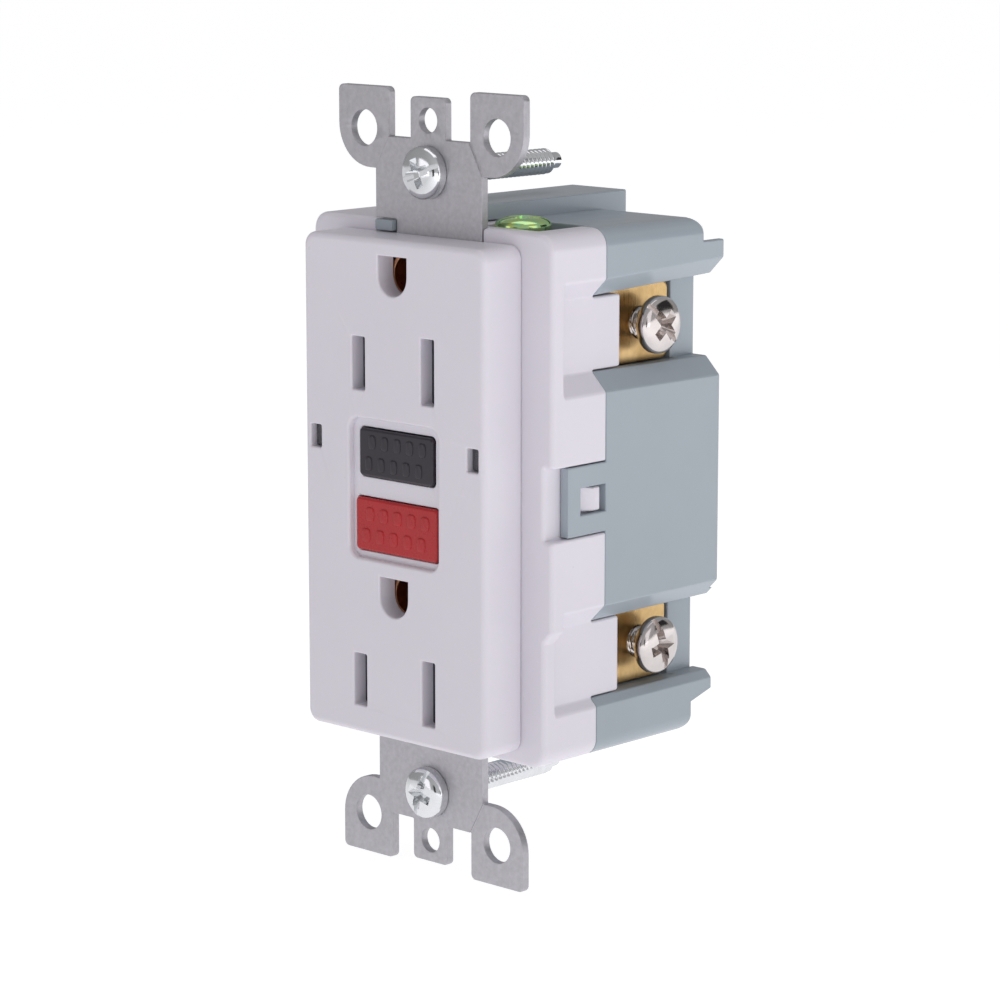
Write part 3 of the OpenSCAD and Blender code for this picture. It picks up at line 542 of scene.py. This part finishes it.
def screw_mesh(name, radius, depth, length, head_radius, head_height, edge, thread_top=None, pilot=0.0):
    """A screw along Z from its tip at 0 to the top of its head, with its recess cut.

    depth is the thread's, edge is the height of the head's rim, thread_top is where a thin neck
    takes over from the thread, and pilot is the length of a plain tip.
    """
    head_z = length - head_height
    in_head = head_z + 0.25
    top = thread_top or in_head
    rod = make_mesh(name, [thread(radius, depth, pilot, top)])
    if pilot:
        point = [(0, 0), (radius * 0.5, 0), (radius * 0.62, 0.2), (radius * 0.62, pilot - 0.6),
                 (radius * 0.8, pilot + 0.25), (0, pilot + 0.3)]
        rod = combine(rod, make_mesh("point", [lathe(point, THREAD_SIDES)]), "UNION")
    if thread_top:
        thin = radius - depth
        neck = [(0, top - 0.3), (thin, top - 0.3), (thin, in_head), (0, in_head)]
        rod = combine(rod, make_mesh("neck", [lathe(neck, THREAD_SIDES)]), "UNION")
    head = make_mesh(name + "_head", [pan_head(head_radius, head_z, edge, length)])
    for cutter in recess_cutters(name, length, head_radius):
        head = combine(head, cutter, "DIFFERENCE")
    return combine(rod, head, "UNION"), head_z


def turned_screw(mesh, head_z, matrix):
    """A copy of a screw moved by matrix, with the sharp edges of its head marked for a bevel."""
    bm = bmesh.new()
    bm.from_mesh(mesh)
    weights = bm.edges.layers.float.new("bevel_weight_edge")
    for edge in bm.edges:
        if all(v.co.z > (head_z + 0.1) * MM for v in edge.verts) and len(edge.link_faces) == 2:
            if edge.calc_face_angle() > math.radians(26):
                edge[weights] = 1.0
    bmesh.ops.transform(bm, matrix=matrix, verts=bm.verts)
    placed = mesh.copy()
    bm.to_mesh(placed)
    bm.free()
    return placed


def place_screw(node, axis, spin, mesh, head_z, length, centre=None, name=None):
    """Puts a screw where its CAD node is: its head's top meets the end of the node's box.

    centre is a point on the screw's axis; without it, the axis runs through the middle of the box.
    """
    ends = (low(node), high(node))
    direction = Vector(axis)
    top = ends[1] if direction.dot(ends[1]) > direction.dot(ends[0]) else ends[0]
    centre = middle(node) if centre is None else Vector(centre)
    origin = centre + direction * (direction.dot(top) - direction.dot(centre) - length)
    placed = turned_screw(mesh, head_z, along(axis, origin * MM, spin))
    obj = add_object(name or node + "_piece", placed, BODY_OF[node], SLOT_OF[node], hides=(node,))
    smooth_by_angle(placed, 30)
    bevel = obj.modifiers.new("soft_recess", "BEVEL")
    bevel.limit_method = "WEIGHT"
    bevel.width = 0.07 * MM
    bevel.segments = 2
    bevel.use_clamp_overlap = True
    bevel.harden_normals = True


def terminal_screws():
    """The four terminal screws and the ground screw, all 8-32."""
    radius, depth = 2.1, 0.42
    size = high("line_neutral_screw") - low("line_neutral_screw")
    mesh, head_z = screw_mesh("terminal_screw", radius, depth, size.x, size.y / 2, 2.0, 0.75)
    spins = {"line_neutral_screw": 0.75, "load_neutral_screw": 0.3,
             "line_hot_screw": 1.9, "load_hot_screw": 2.6}
    for node, spin in spins.items():
        side = 1.0 if "neutral" in node else -1.0
        place_screw(node, (side, 0, 0), spin, mesh, head_z, size.x)
    size = high("ground_screw") - low("ground_screw")
    mesh, head_z = screw_mesh("ground_screw", radius, depth, size.z, size.x / 2, 1.95, 0.7)
    place_screw("ground_screw", (0, 0, 1), 0.5, mesh, head_z, size.z)


def mounting_screws():
    """The two 6-32 box screws, with pilot tips and thin necks under their heads."""
    size = high("upper_mounting_screw") - low("upper_mounting_screw")
    radius, depth, head_height, neck_length, pilot_length = 1.75, 0.36, 2.3, 2.4, 2.0
    thread_top = size.y - head_height - neck_length
    mesh, head_z = screw_mesh("mounting_screw", radius, depth, size.y, size.x / 2, head_height, 0.85,
                              thread_top=thread_top, pilot=pilot_length)
    for node, spin in (("upper_mounting_screw", 0.35), ("lower_mounting_screw", 1.25)):
        place_screw(node, (0, -1, 0), spin, mesh, head_z, size.y)


def case_screws():
    """The four thread-forming screws that hold the housings together, driven from the back."""
    a, b = low("case_screws"), high("case_screws")
    radius, depth, threaded = 1.2, 0.3, 9.0
    head_radius, head_height = 1.9, 1.4
    lower_inset = 1.4  # how much nearer the middle the lower pair is
    length = b.y - a.y
    mesh, head_z = screw_mesh("case_screw", radius, depth, length, head_radius, head_height, 0.5,
                              thread_top=threaded)
    upper_x = b.x - head_radius
    upper_z, lower_z = b.z - head_radius, a.z + head_radius
    places = ((upper_x, upper_z), (-upper_x, upper_z), (upper_x - lower_inset, lower_z),
              (lower_inset - upper_x, lower_z))
    for number, (x, z) in enumerate(places, start=1):
        place_screw("case_screws", (0, 1, 0), 0.8 * number, mesh, head_z, length,
                    centre=(x, b.y, z), name=f"case_screw_{number}")


# ---------------------------------------------------------------- springs and windings

def helix(radius, wire, turns, length, around=10, steps=26):
    """A coil spring along Z with closed ends, made as a tube along a helix."""
    count = round(turns * steps)
    closed = 1.0 / turns
    rings = []
    for i in range(count + 1):
        t = i / count
        lift = min(max((t - closed * 0.7) / (1 - 1.4 * closed), 0.0), 1.0)
        z = wire + lift * (length - 2 * wire)
        angle = FULL_TURN * turns * t
        out = Vector((math.cos(angle), math.sin(angle), 0))
        centre = out * radius + Vector((0, 0, z))
        rings.append([tuple(centre + out * wire * math.cos(a) + Vector((0, 0, wire * math.sin(a))))
                      for a in (FULL_TURN * k / around for k in range(around))])
    return tube(rings)


def springs():
    """All coil springs, placed in the boxes of their CAD nodes."""
    for node, joint, axis, wire, turns, count, fixed_high in SPRINGS:
        a, b = low(node), high(node)
        direction = Vector(axis)
        length = direction.dot(b - a)
        across = [k for k in range(3) if not axis[k]]
        half = min((b - a)[k] for k in across) / 2
        wide = max(across, key=lambda k: (b - a)[k])
        for number in range(count):
            start = (a + b) / 2 - direction * length / 2
            if count == 2:
                start[wide] = a[wide] + half if number == 0 else b[wide] - half
            name = f"{node}_coil" if count == 1 else f"{node}_coil_{number + 1}"
            mesh = make_mesh(name, [helix(half - wire, wire, turns, length)], along(axis, start))
            obj = add_object(name, mesh, BODY_OF[node], SLOT_OF[node], hides=(node,))
            smooth_by_angle(mesh, 60)
            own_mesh(obj)


# node, joint that presses it, axis, wire radius, turns, how many, whether the high end stands still
SPRINGS = (
    ("reset_spring", "reset_press", (0, 1, 0), 0.28, 5.5, 1, True),
    ("lifter_springs", "lifter_slide", (0, 1, 0), 0.17, 7.0, 2, False),
    ("plunger_spring", "plunger_slide", (0, 0, 1), 0.18, 5.5, 1, False),
    ("upper_shutter_spring", "upper_shutter_slide", (1, 0, 0), 0.13, 9.0, 1, True),
    ("lower_shutter_spring", "lower_shutter_slide", (1, 0, 0), 0.13, 9.0, 1, True),
)


def solenoid_winding():
    """The wire on the bobbin, layer by layer as it shows from outside."""
    a, b = low("solenoid_coil"), high("solenoid_coil")
    outer, inner, wire = (b.x - a.x) / 2, 2.9, 0.26
    rows = round((b.z - a.z) / wire)
    pitch = (b.z - a.z) / rows
    steps, sides = 5, 72
    profile = [(inner, b.z), (inner, a.z)]
    for row in range(rows):
        for i in range(steps):
            bulge = math.sin(math.pi * (i + 0.5) / steps)
            profile.append((outer - wire / 2 + wire / 2 * bulge, a.z + pitch * (row + (i + 0.5) / steps)))
    verts = [point for r, z in profile for point in circle(r, z, sides)]
    faces = grid_faces(len(profile), sides)
    last = (len(profile) - 1) * sides
    faces += [(last + i, last + (i + 1) % sides, (i + 1) % sides, i) for i in range(sides)]
    centre = middle("solenoid_coil")
    mesh = make_mesh("solenoid_winding", [(verts, faces)], Matrix.Translation((centre.x, centre.y, 0)))
    add_object("solenoid_winding", mesh, BODY_OF["solenoid_coil"], "winding", hides=("solenoid_coil",))
    smooth_by_angle(mesh, 50)


# ---------------------------------------------------------------- shells

def outline_gap(point, half_w, half_h):
    """How far inside a rectangle's outline a point is, in X and Z."""
    return min(half_w - abs(point.x), half_h - abs(point.z))


def cover_edges(point, direction, hollow):
    """Edge radii of the face cover: its rim, the slots, and the recess of the keys with its holes."""
    a, b = low("face_cover"), high("face_cover")
    corner, recess_depth = 1.9, 1.0
    in_outline = outline_gap(point, b.x, b.z) < 0.05
    in_corner = abs(point.x) > b.x - corner and abs(point.z) > b.z - corner
    depth = point.y - a.y
    if depth < 0.02:
        if in_outline or in_corner:
            return 0.85
        in_recess = abs(point.x) < 8.3 and abs(point.z) < 9.5
        return 0.42 if in_recess else 0.26
    if abs(depth - recess_depth) < 0.02:
        return 0.0 if hollow else 0.12
    return 0.2 if in_outline or in_corner else 0.0


def middle_edges(point, direction, hollow):
    """Edge radii of the middle housing: only what can be seen gets one."""
    front, back = low("middle_housing").y, high("middle_housing").y
    under_cover = abs(point.x) < 16.9 and abs(point.z) < 33.6
    if under_cover:
        return 0.0
    if point.y - front < 0.05:
        return 0.65
    if back - point.y < 0.05:
        return 0.55
    if abs(direction.y) > 0.9 and not hollow:
        return 0.35
    return 0.25


def rear_edges(point, direction, hollow):
    """Edge radii of the rear housing: none inside it, in hollow corners or around the rear panel."""
    inside = abs(point.x) < 16.3 and abs(point.z) < 31.0
    at_panel = point.y > 31.9
    if inside or hollow or at_panel:
        return 0.0
    return 0.2


def even(width):
    """One radius for every edge."""
    return lambda point, direction, hollow: width


def shells():
    """Covers, housings and the strap."""
    from_node("face_cover", "face_cover_moulding", cover_edges, 0.85, segments=4)
    from_node("middle_housing", "middle_housing_moulding", middle_edges, 0.65)
    from_node("rear_housing", "rear_housing_moulding", rear_edges, 0.2, segments=2)
    from_node("mounting_strap", "mounting_strap_stamping", even(0.13), 0.13, segments=2)


def key_edges(node):
    """Edge radii of a key: a soft front and a plain body."""
    front = low(node).y
    return lambda point, direction, hollow: 0.4 if point.y - front < 0.02 else 0.12


def keys():
    """The two keys, each with two rows of raised tactile bars in place of its lettering."""
    columns, row_gap, half_height = 5, 2.9, 0.95
    for node, half_width in (("test_button", 0.62), ("reset_button", 0.72)):
        from_node(node, node + "_cap", key_edges(node), 0.4, segments=4)
        a, b = low(node), high(node)
        half = (b.x - a.x) / 2 - 0.8
        bars = []
        for row in (-1, 1):
            for column in range(columns):
                x = (column - columns // 2) * half * 0.34 + row * half * 0.05
                bars.append((x, middle(node).z + row * row_gap / 2, half_width, half_height))
        make_bars(node, bars, a.y)


BAR_SIDES = 24
BAR_RINGS = ((0.05, 0.0), (-0.07, 0.02), (-0.13, 0.08), (-0.16, 0.18))  # height over the key, inset


def make_bars(node, bars, front):
    """Low rounded bars on the front of a key."""
    parts = []
    for x, z, half_w, half_h in bars:
        rings = []
        for lift, inset in BAR_RINGS:
            w, h = half_w - inset, half_h - inset
            ring = []
            for i in range(BAR_SIDES):
                angle = FULL_TURN * i / BAR_SIDES
                c, s = math.cos(angle), math.sin(angle)
                reach = (abs(c) ** 4 + abs(s) ** 4) ** -0.25
                ring.append((x + w * c * reach, front + lift, z + h * s * reach))
            rings.append(ring)
        parts.append(tube(rings))
    mesh = make_mesh(node + "_bars", parts)
    add_object(node + "_bars", mesh, BODY_OF[node], SLOT_OF[node])
    smooth_by_angle(mesh, 50)


# ---------------------------------------------------------------- inner and small parts

ROUNDED_NODES = {
    "upper_shutter": 0.12, "lower_shutter": 0.12, "shutter_retainers": 0.1, "light_pipes": 0.1,
    "hot_face_contact": 0.09, "neutral_face_contact": 0.09, "line_hot_contact": 0.09,
    "line_neutral_contact": 0.09, "moving_contacts": 0.07, "lifter_block": 0.15, "latch_plate": 0.06,
    "solenoid_frame": 0.1, "test_arm": 0.06, "line_hot_terminal": 0.12, "line_neutral_terminal": 0.12,
    "load_hot_terminal": 0.12, "load_neutral_terminal": 0.12, "line_hot_clamp": 0.14,
    "line_neutral_clamp": 0.14, "load_hot_clamp": 0.14, "load_neutral_clamp": 0.14,
    "screw_retainers": 0.08, "ground_contacts": 0.08, "ground_washer": 0.12,
    "solenoid_bobbin": 0.12, "sensor_case": 0.2, "sensor_cores": 0.25, "circuit_board": 0.05,
    "capacitors": 0.35, "control_chip": 0.05, "indicator_leds": 0.15, "plunger": 0.15,
    "reset_pin": 0.12, "test_arm_pin": 0.1, "test_contact": 0.1, "line_conductors": 0.15,
    "varistor": 0.1, "resistors": 0.25,
}


def small_parts():
    """Inner and small parts: their CAD shapes with broken edges."""
    for node, width in ROUNDED_NODES.items():
        from_node(node, node + "_piece", even(width), width, segments=2)


# ---------------------------------------------------------------- stage, light and camera

CAMERA_AZIMUTH = math.radians(43.44)
CAMERA_ELEVATION = math.radians(10.63)
CAMERA_DISTANCE = 461.8
CAMERA_TARGET = Vector((12.93, -1.2, -0.07))
CAMERA_LENS = 128.0  # focal length, on a sensor 36 mm wide


def stage():
    """A plain pale floor just under the object that glows like a light table, more to the right."""
    size, clearance = 30.0, 0.6 * MM
    depth = low("mounting_strap").z * MM - clearance
    mesh = bpy.data.meshes.new("floor")
    corners = [(-size, -size, depth), (size, -size, depth), (size, size, depth), (-size, size, depth)]
    mesh.from_pydata(corners, [], [(0, 1, 2, 3)])
    floor = bpy.data.objects.new("floor", mesh)
    bpy.context.scene.collection.objects.link(floor)
    material, add, join = shader("studio_floor")
    place = add("NewGeometry")
    side = add("SeparateXYZ")
    join(place, "Position", side, 0)
    table_light = add("MapRange")
    table_light.inputs["From Min"].default_value = -0.15
    table_light.inputs["From Max"].default_value = 0.25
    table_light.inputs["To Min"].default_value = 0.74
    table_light.inputs["To Max"].default_value = 1.44
    join(side, "X", table_light, "Value")
    lit = add("Emission", Color=(0.97, 0.97, 1.0, 1.0))
    join(table_light, "Result", lit, "Strength")
    shaded = add("BsdfDiffuse", Color=(0.4, 0.4, 0.41, 1.0))
    glow = add("Emission", Color=(1.0, 1.0, 1.0, 1.0), Strength=0.84)
    seen_white = add("AddShader")
    join(shaded, "BSDF", seen_white, 0)
    join(glow, "Emission", seen_white, 1)
    path = add("LightPath")
    pick = add("MixShader")
    join(path, "Is Camera Ray", pick, 0)
    join(lit, "Emission", pick, 1)
    join(seen_white, "Shader", pick, 2)
    out = add("OutputMaterial")
    join(pick, "Shader", out, "Surface")
    mesh.materials.append(material)


def world():
    """A soft studio: brightest to the right, dimmer to the left, and white where the camera sees it."""
    setting = bpy.data.worlds.new("studio")
    bpy.context.scene.world = setting
    setting.use_nodes = True
    tree = setting.node_tree
    tree.nodes.clear()

    def add(kind):
        return tree.nodes.new("ShaderNode" + kind)

    direction = add("TexCoord")
    toward = add("VectorMath")
    toward.operation = "DOT_PRODUCT"
    toward.inputs[1].default_value = Vector((0.9, -0.25, 0.1)).normalized()
    tree.links.new(direction.outputs["Generated"], toward.inputs[0])
    level = add("ValToRGB")
    stops = ((0.0, 0.3), (0.45, 0.36), (0.65, 0.42), (1.0, 0.5))
    while len(level.color_ramp.elements) < len(stops):
        level.color_ramp.elements.new(0.5)
    for element, (position, value) in zip(level.color_ramp.elements, stops):
        element.position = position
        element.color = (value, value, value * 1.02, 1.0)
    remap = add("MapRange")
    remap.inputs["From Min"].default_value = -1.0
    tree.links.new(toward.outputs["Value"], remap.inputs["Value"])
    tree.links.new(remap.outputs["Result"], level.inputs["Fac"])
    glow = add("Background")
    tree.links.new(level.outputs["Color"], glow.inputs["Color"])
    white = add("Background")
    white.inputs["Color"].default_value = (1.0, 1.0, 1.0, 1.0)
    seen = add("LightPath")
    mix = add("MixShader")
    tree.links.new(seen.outputs["Is Camera Ray"], mix.inputs["Fac"])
    tree.links.new(glow.outputs["Background"], mix.inputs[1])
    tree.links.new(white.outputs["Background"], mix.inputs[2])
    out = add("OutputWorld")
    tree.links.new(mix.outputs["Shader"], out.inputs["Surface"])


def soft_light(name, place, aim, size, power):
    """A square soft box, in millimetres, that points at a place."""
    light = bpy.data.lights.new(name, "AREA")
    light.shape = "RECTANGLE"
    light.size, light.size_y = (side * MM for side in size)
    light.energy = power
    light.color = (0.97, 0.95, 1.0)
    obj = bpy.data.objects.new(name, light)
    bpy.context.scene.collection.objects.link(obj)
    obj.location = Vector(place) * MM
    obj.rotation_euler = (Vector(aim) - Vector(place)).to_track_quat("-Z", "Y").to_euler()


def dark_card(name, place, aim, size):
    """A black card that only shows in reflections, so that bright metal gets its dark bands."""
    x, y = size[0] / 2, size[1] / 2
    verts = [(-x, -y, 0), (x, -y, 0), (x, y, 0), (-x, y, 0)]
    turn = (Vector(aim) - Vector(place)).to_track_quat("-Z", "Y").to_matrix().to_4x4()
    mesh = make_mesh(name, [(verts, [(0, 1, 2, 3)])], Matrix.Translation(Vector(place)) @ turn)
    card = bpy.data.objects.new(name, mesh)
    bpy.context.scene.collection.objects.link(card)
    material, add, join = shader(name)
    black = add("BsdfDiffuse", Color=(0.03, 0.03, 0.03, 1.0))
    out = add("OutputMaterial")
    join(black, "BSDF", out, "Surface")
    mesh.materials.append(material)
    card.visible_camera = False
    card.visible_diffuse = False
    card.visible_shadow = False
    card.visible_transmission = False


def lights():
    """Soft boxes to the right, above and in front, and dark cards for the metal; all in millimetres."""
    soft_light("key_light", (640, -40, 150), (10, 5, 0), (380, 420), 0.33)
    soft_light("top_light", (0, 60, 650), (0, 10, 0), (600, 500), 0.75)
    soft_light("front_fill", (-300, -640, 60), (0, 0, 0), (340, 340), 0.31)
    dark_card("left_card", (120, -560, -60), (0, 0, 0), (160, 420))
    dark_card("right_card", (640, -160, -20), (15, 10, 0), (150, 420))
    dark_card("back_card", (420, 470, 190), (15, 10, 0), (420, 260))


def camera():
    """The main view: from the right and slightly above, with a long lens."""
    back = Vector((math.sin(CAMERA_AZIMUTH) * math.cos(CAMERA_ELEVATION),
                   -math.cos(CAMERA_AZIMUTH) * math.cos(CAMERA_ELEVATION), math.sin(CAMERA_ELEVATION)))
    data = bpy.data.cameras.new("camera")
    data.lens = CAMERA_LENS
    data.sensor_width = 36.0
    data.clip_start = 0.01
    obj = bpy.data.objects.new("camera", data)
    bpy.context.scene.collection.objects.link(obj)
    obj.location = (CAMERA_TARGET + back * CAMERA_DISTANCE) * MM
    obj.rotation_euler = back.to_track_quat("Z", "Y").to_euler()
    bpy.context.scene.camera = obj
    bpy.context.scene.view_settings.view_transform = "Standard"


shells()
keys()
small_parts()
terminal_screws()
mounting_screws()
case_screws()
springs()
solenoid_winding()
stage()
world()
lights()
camera()
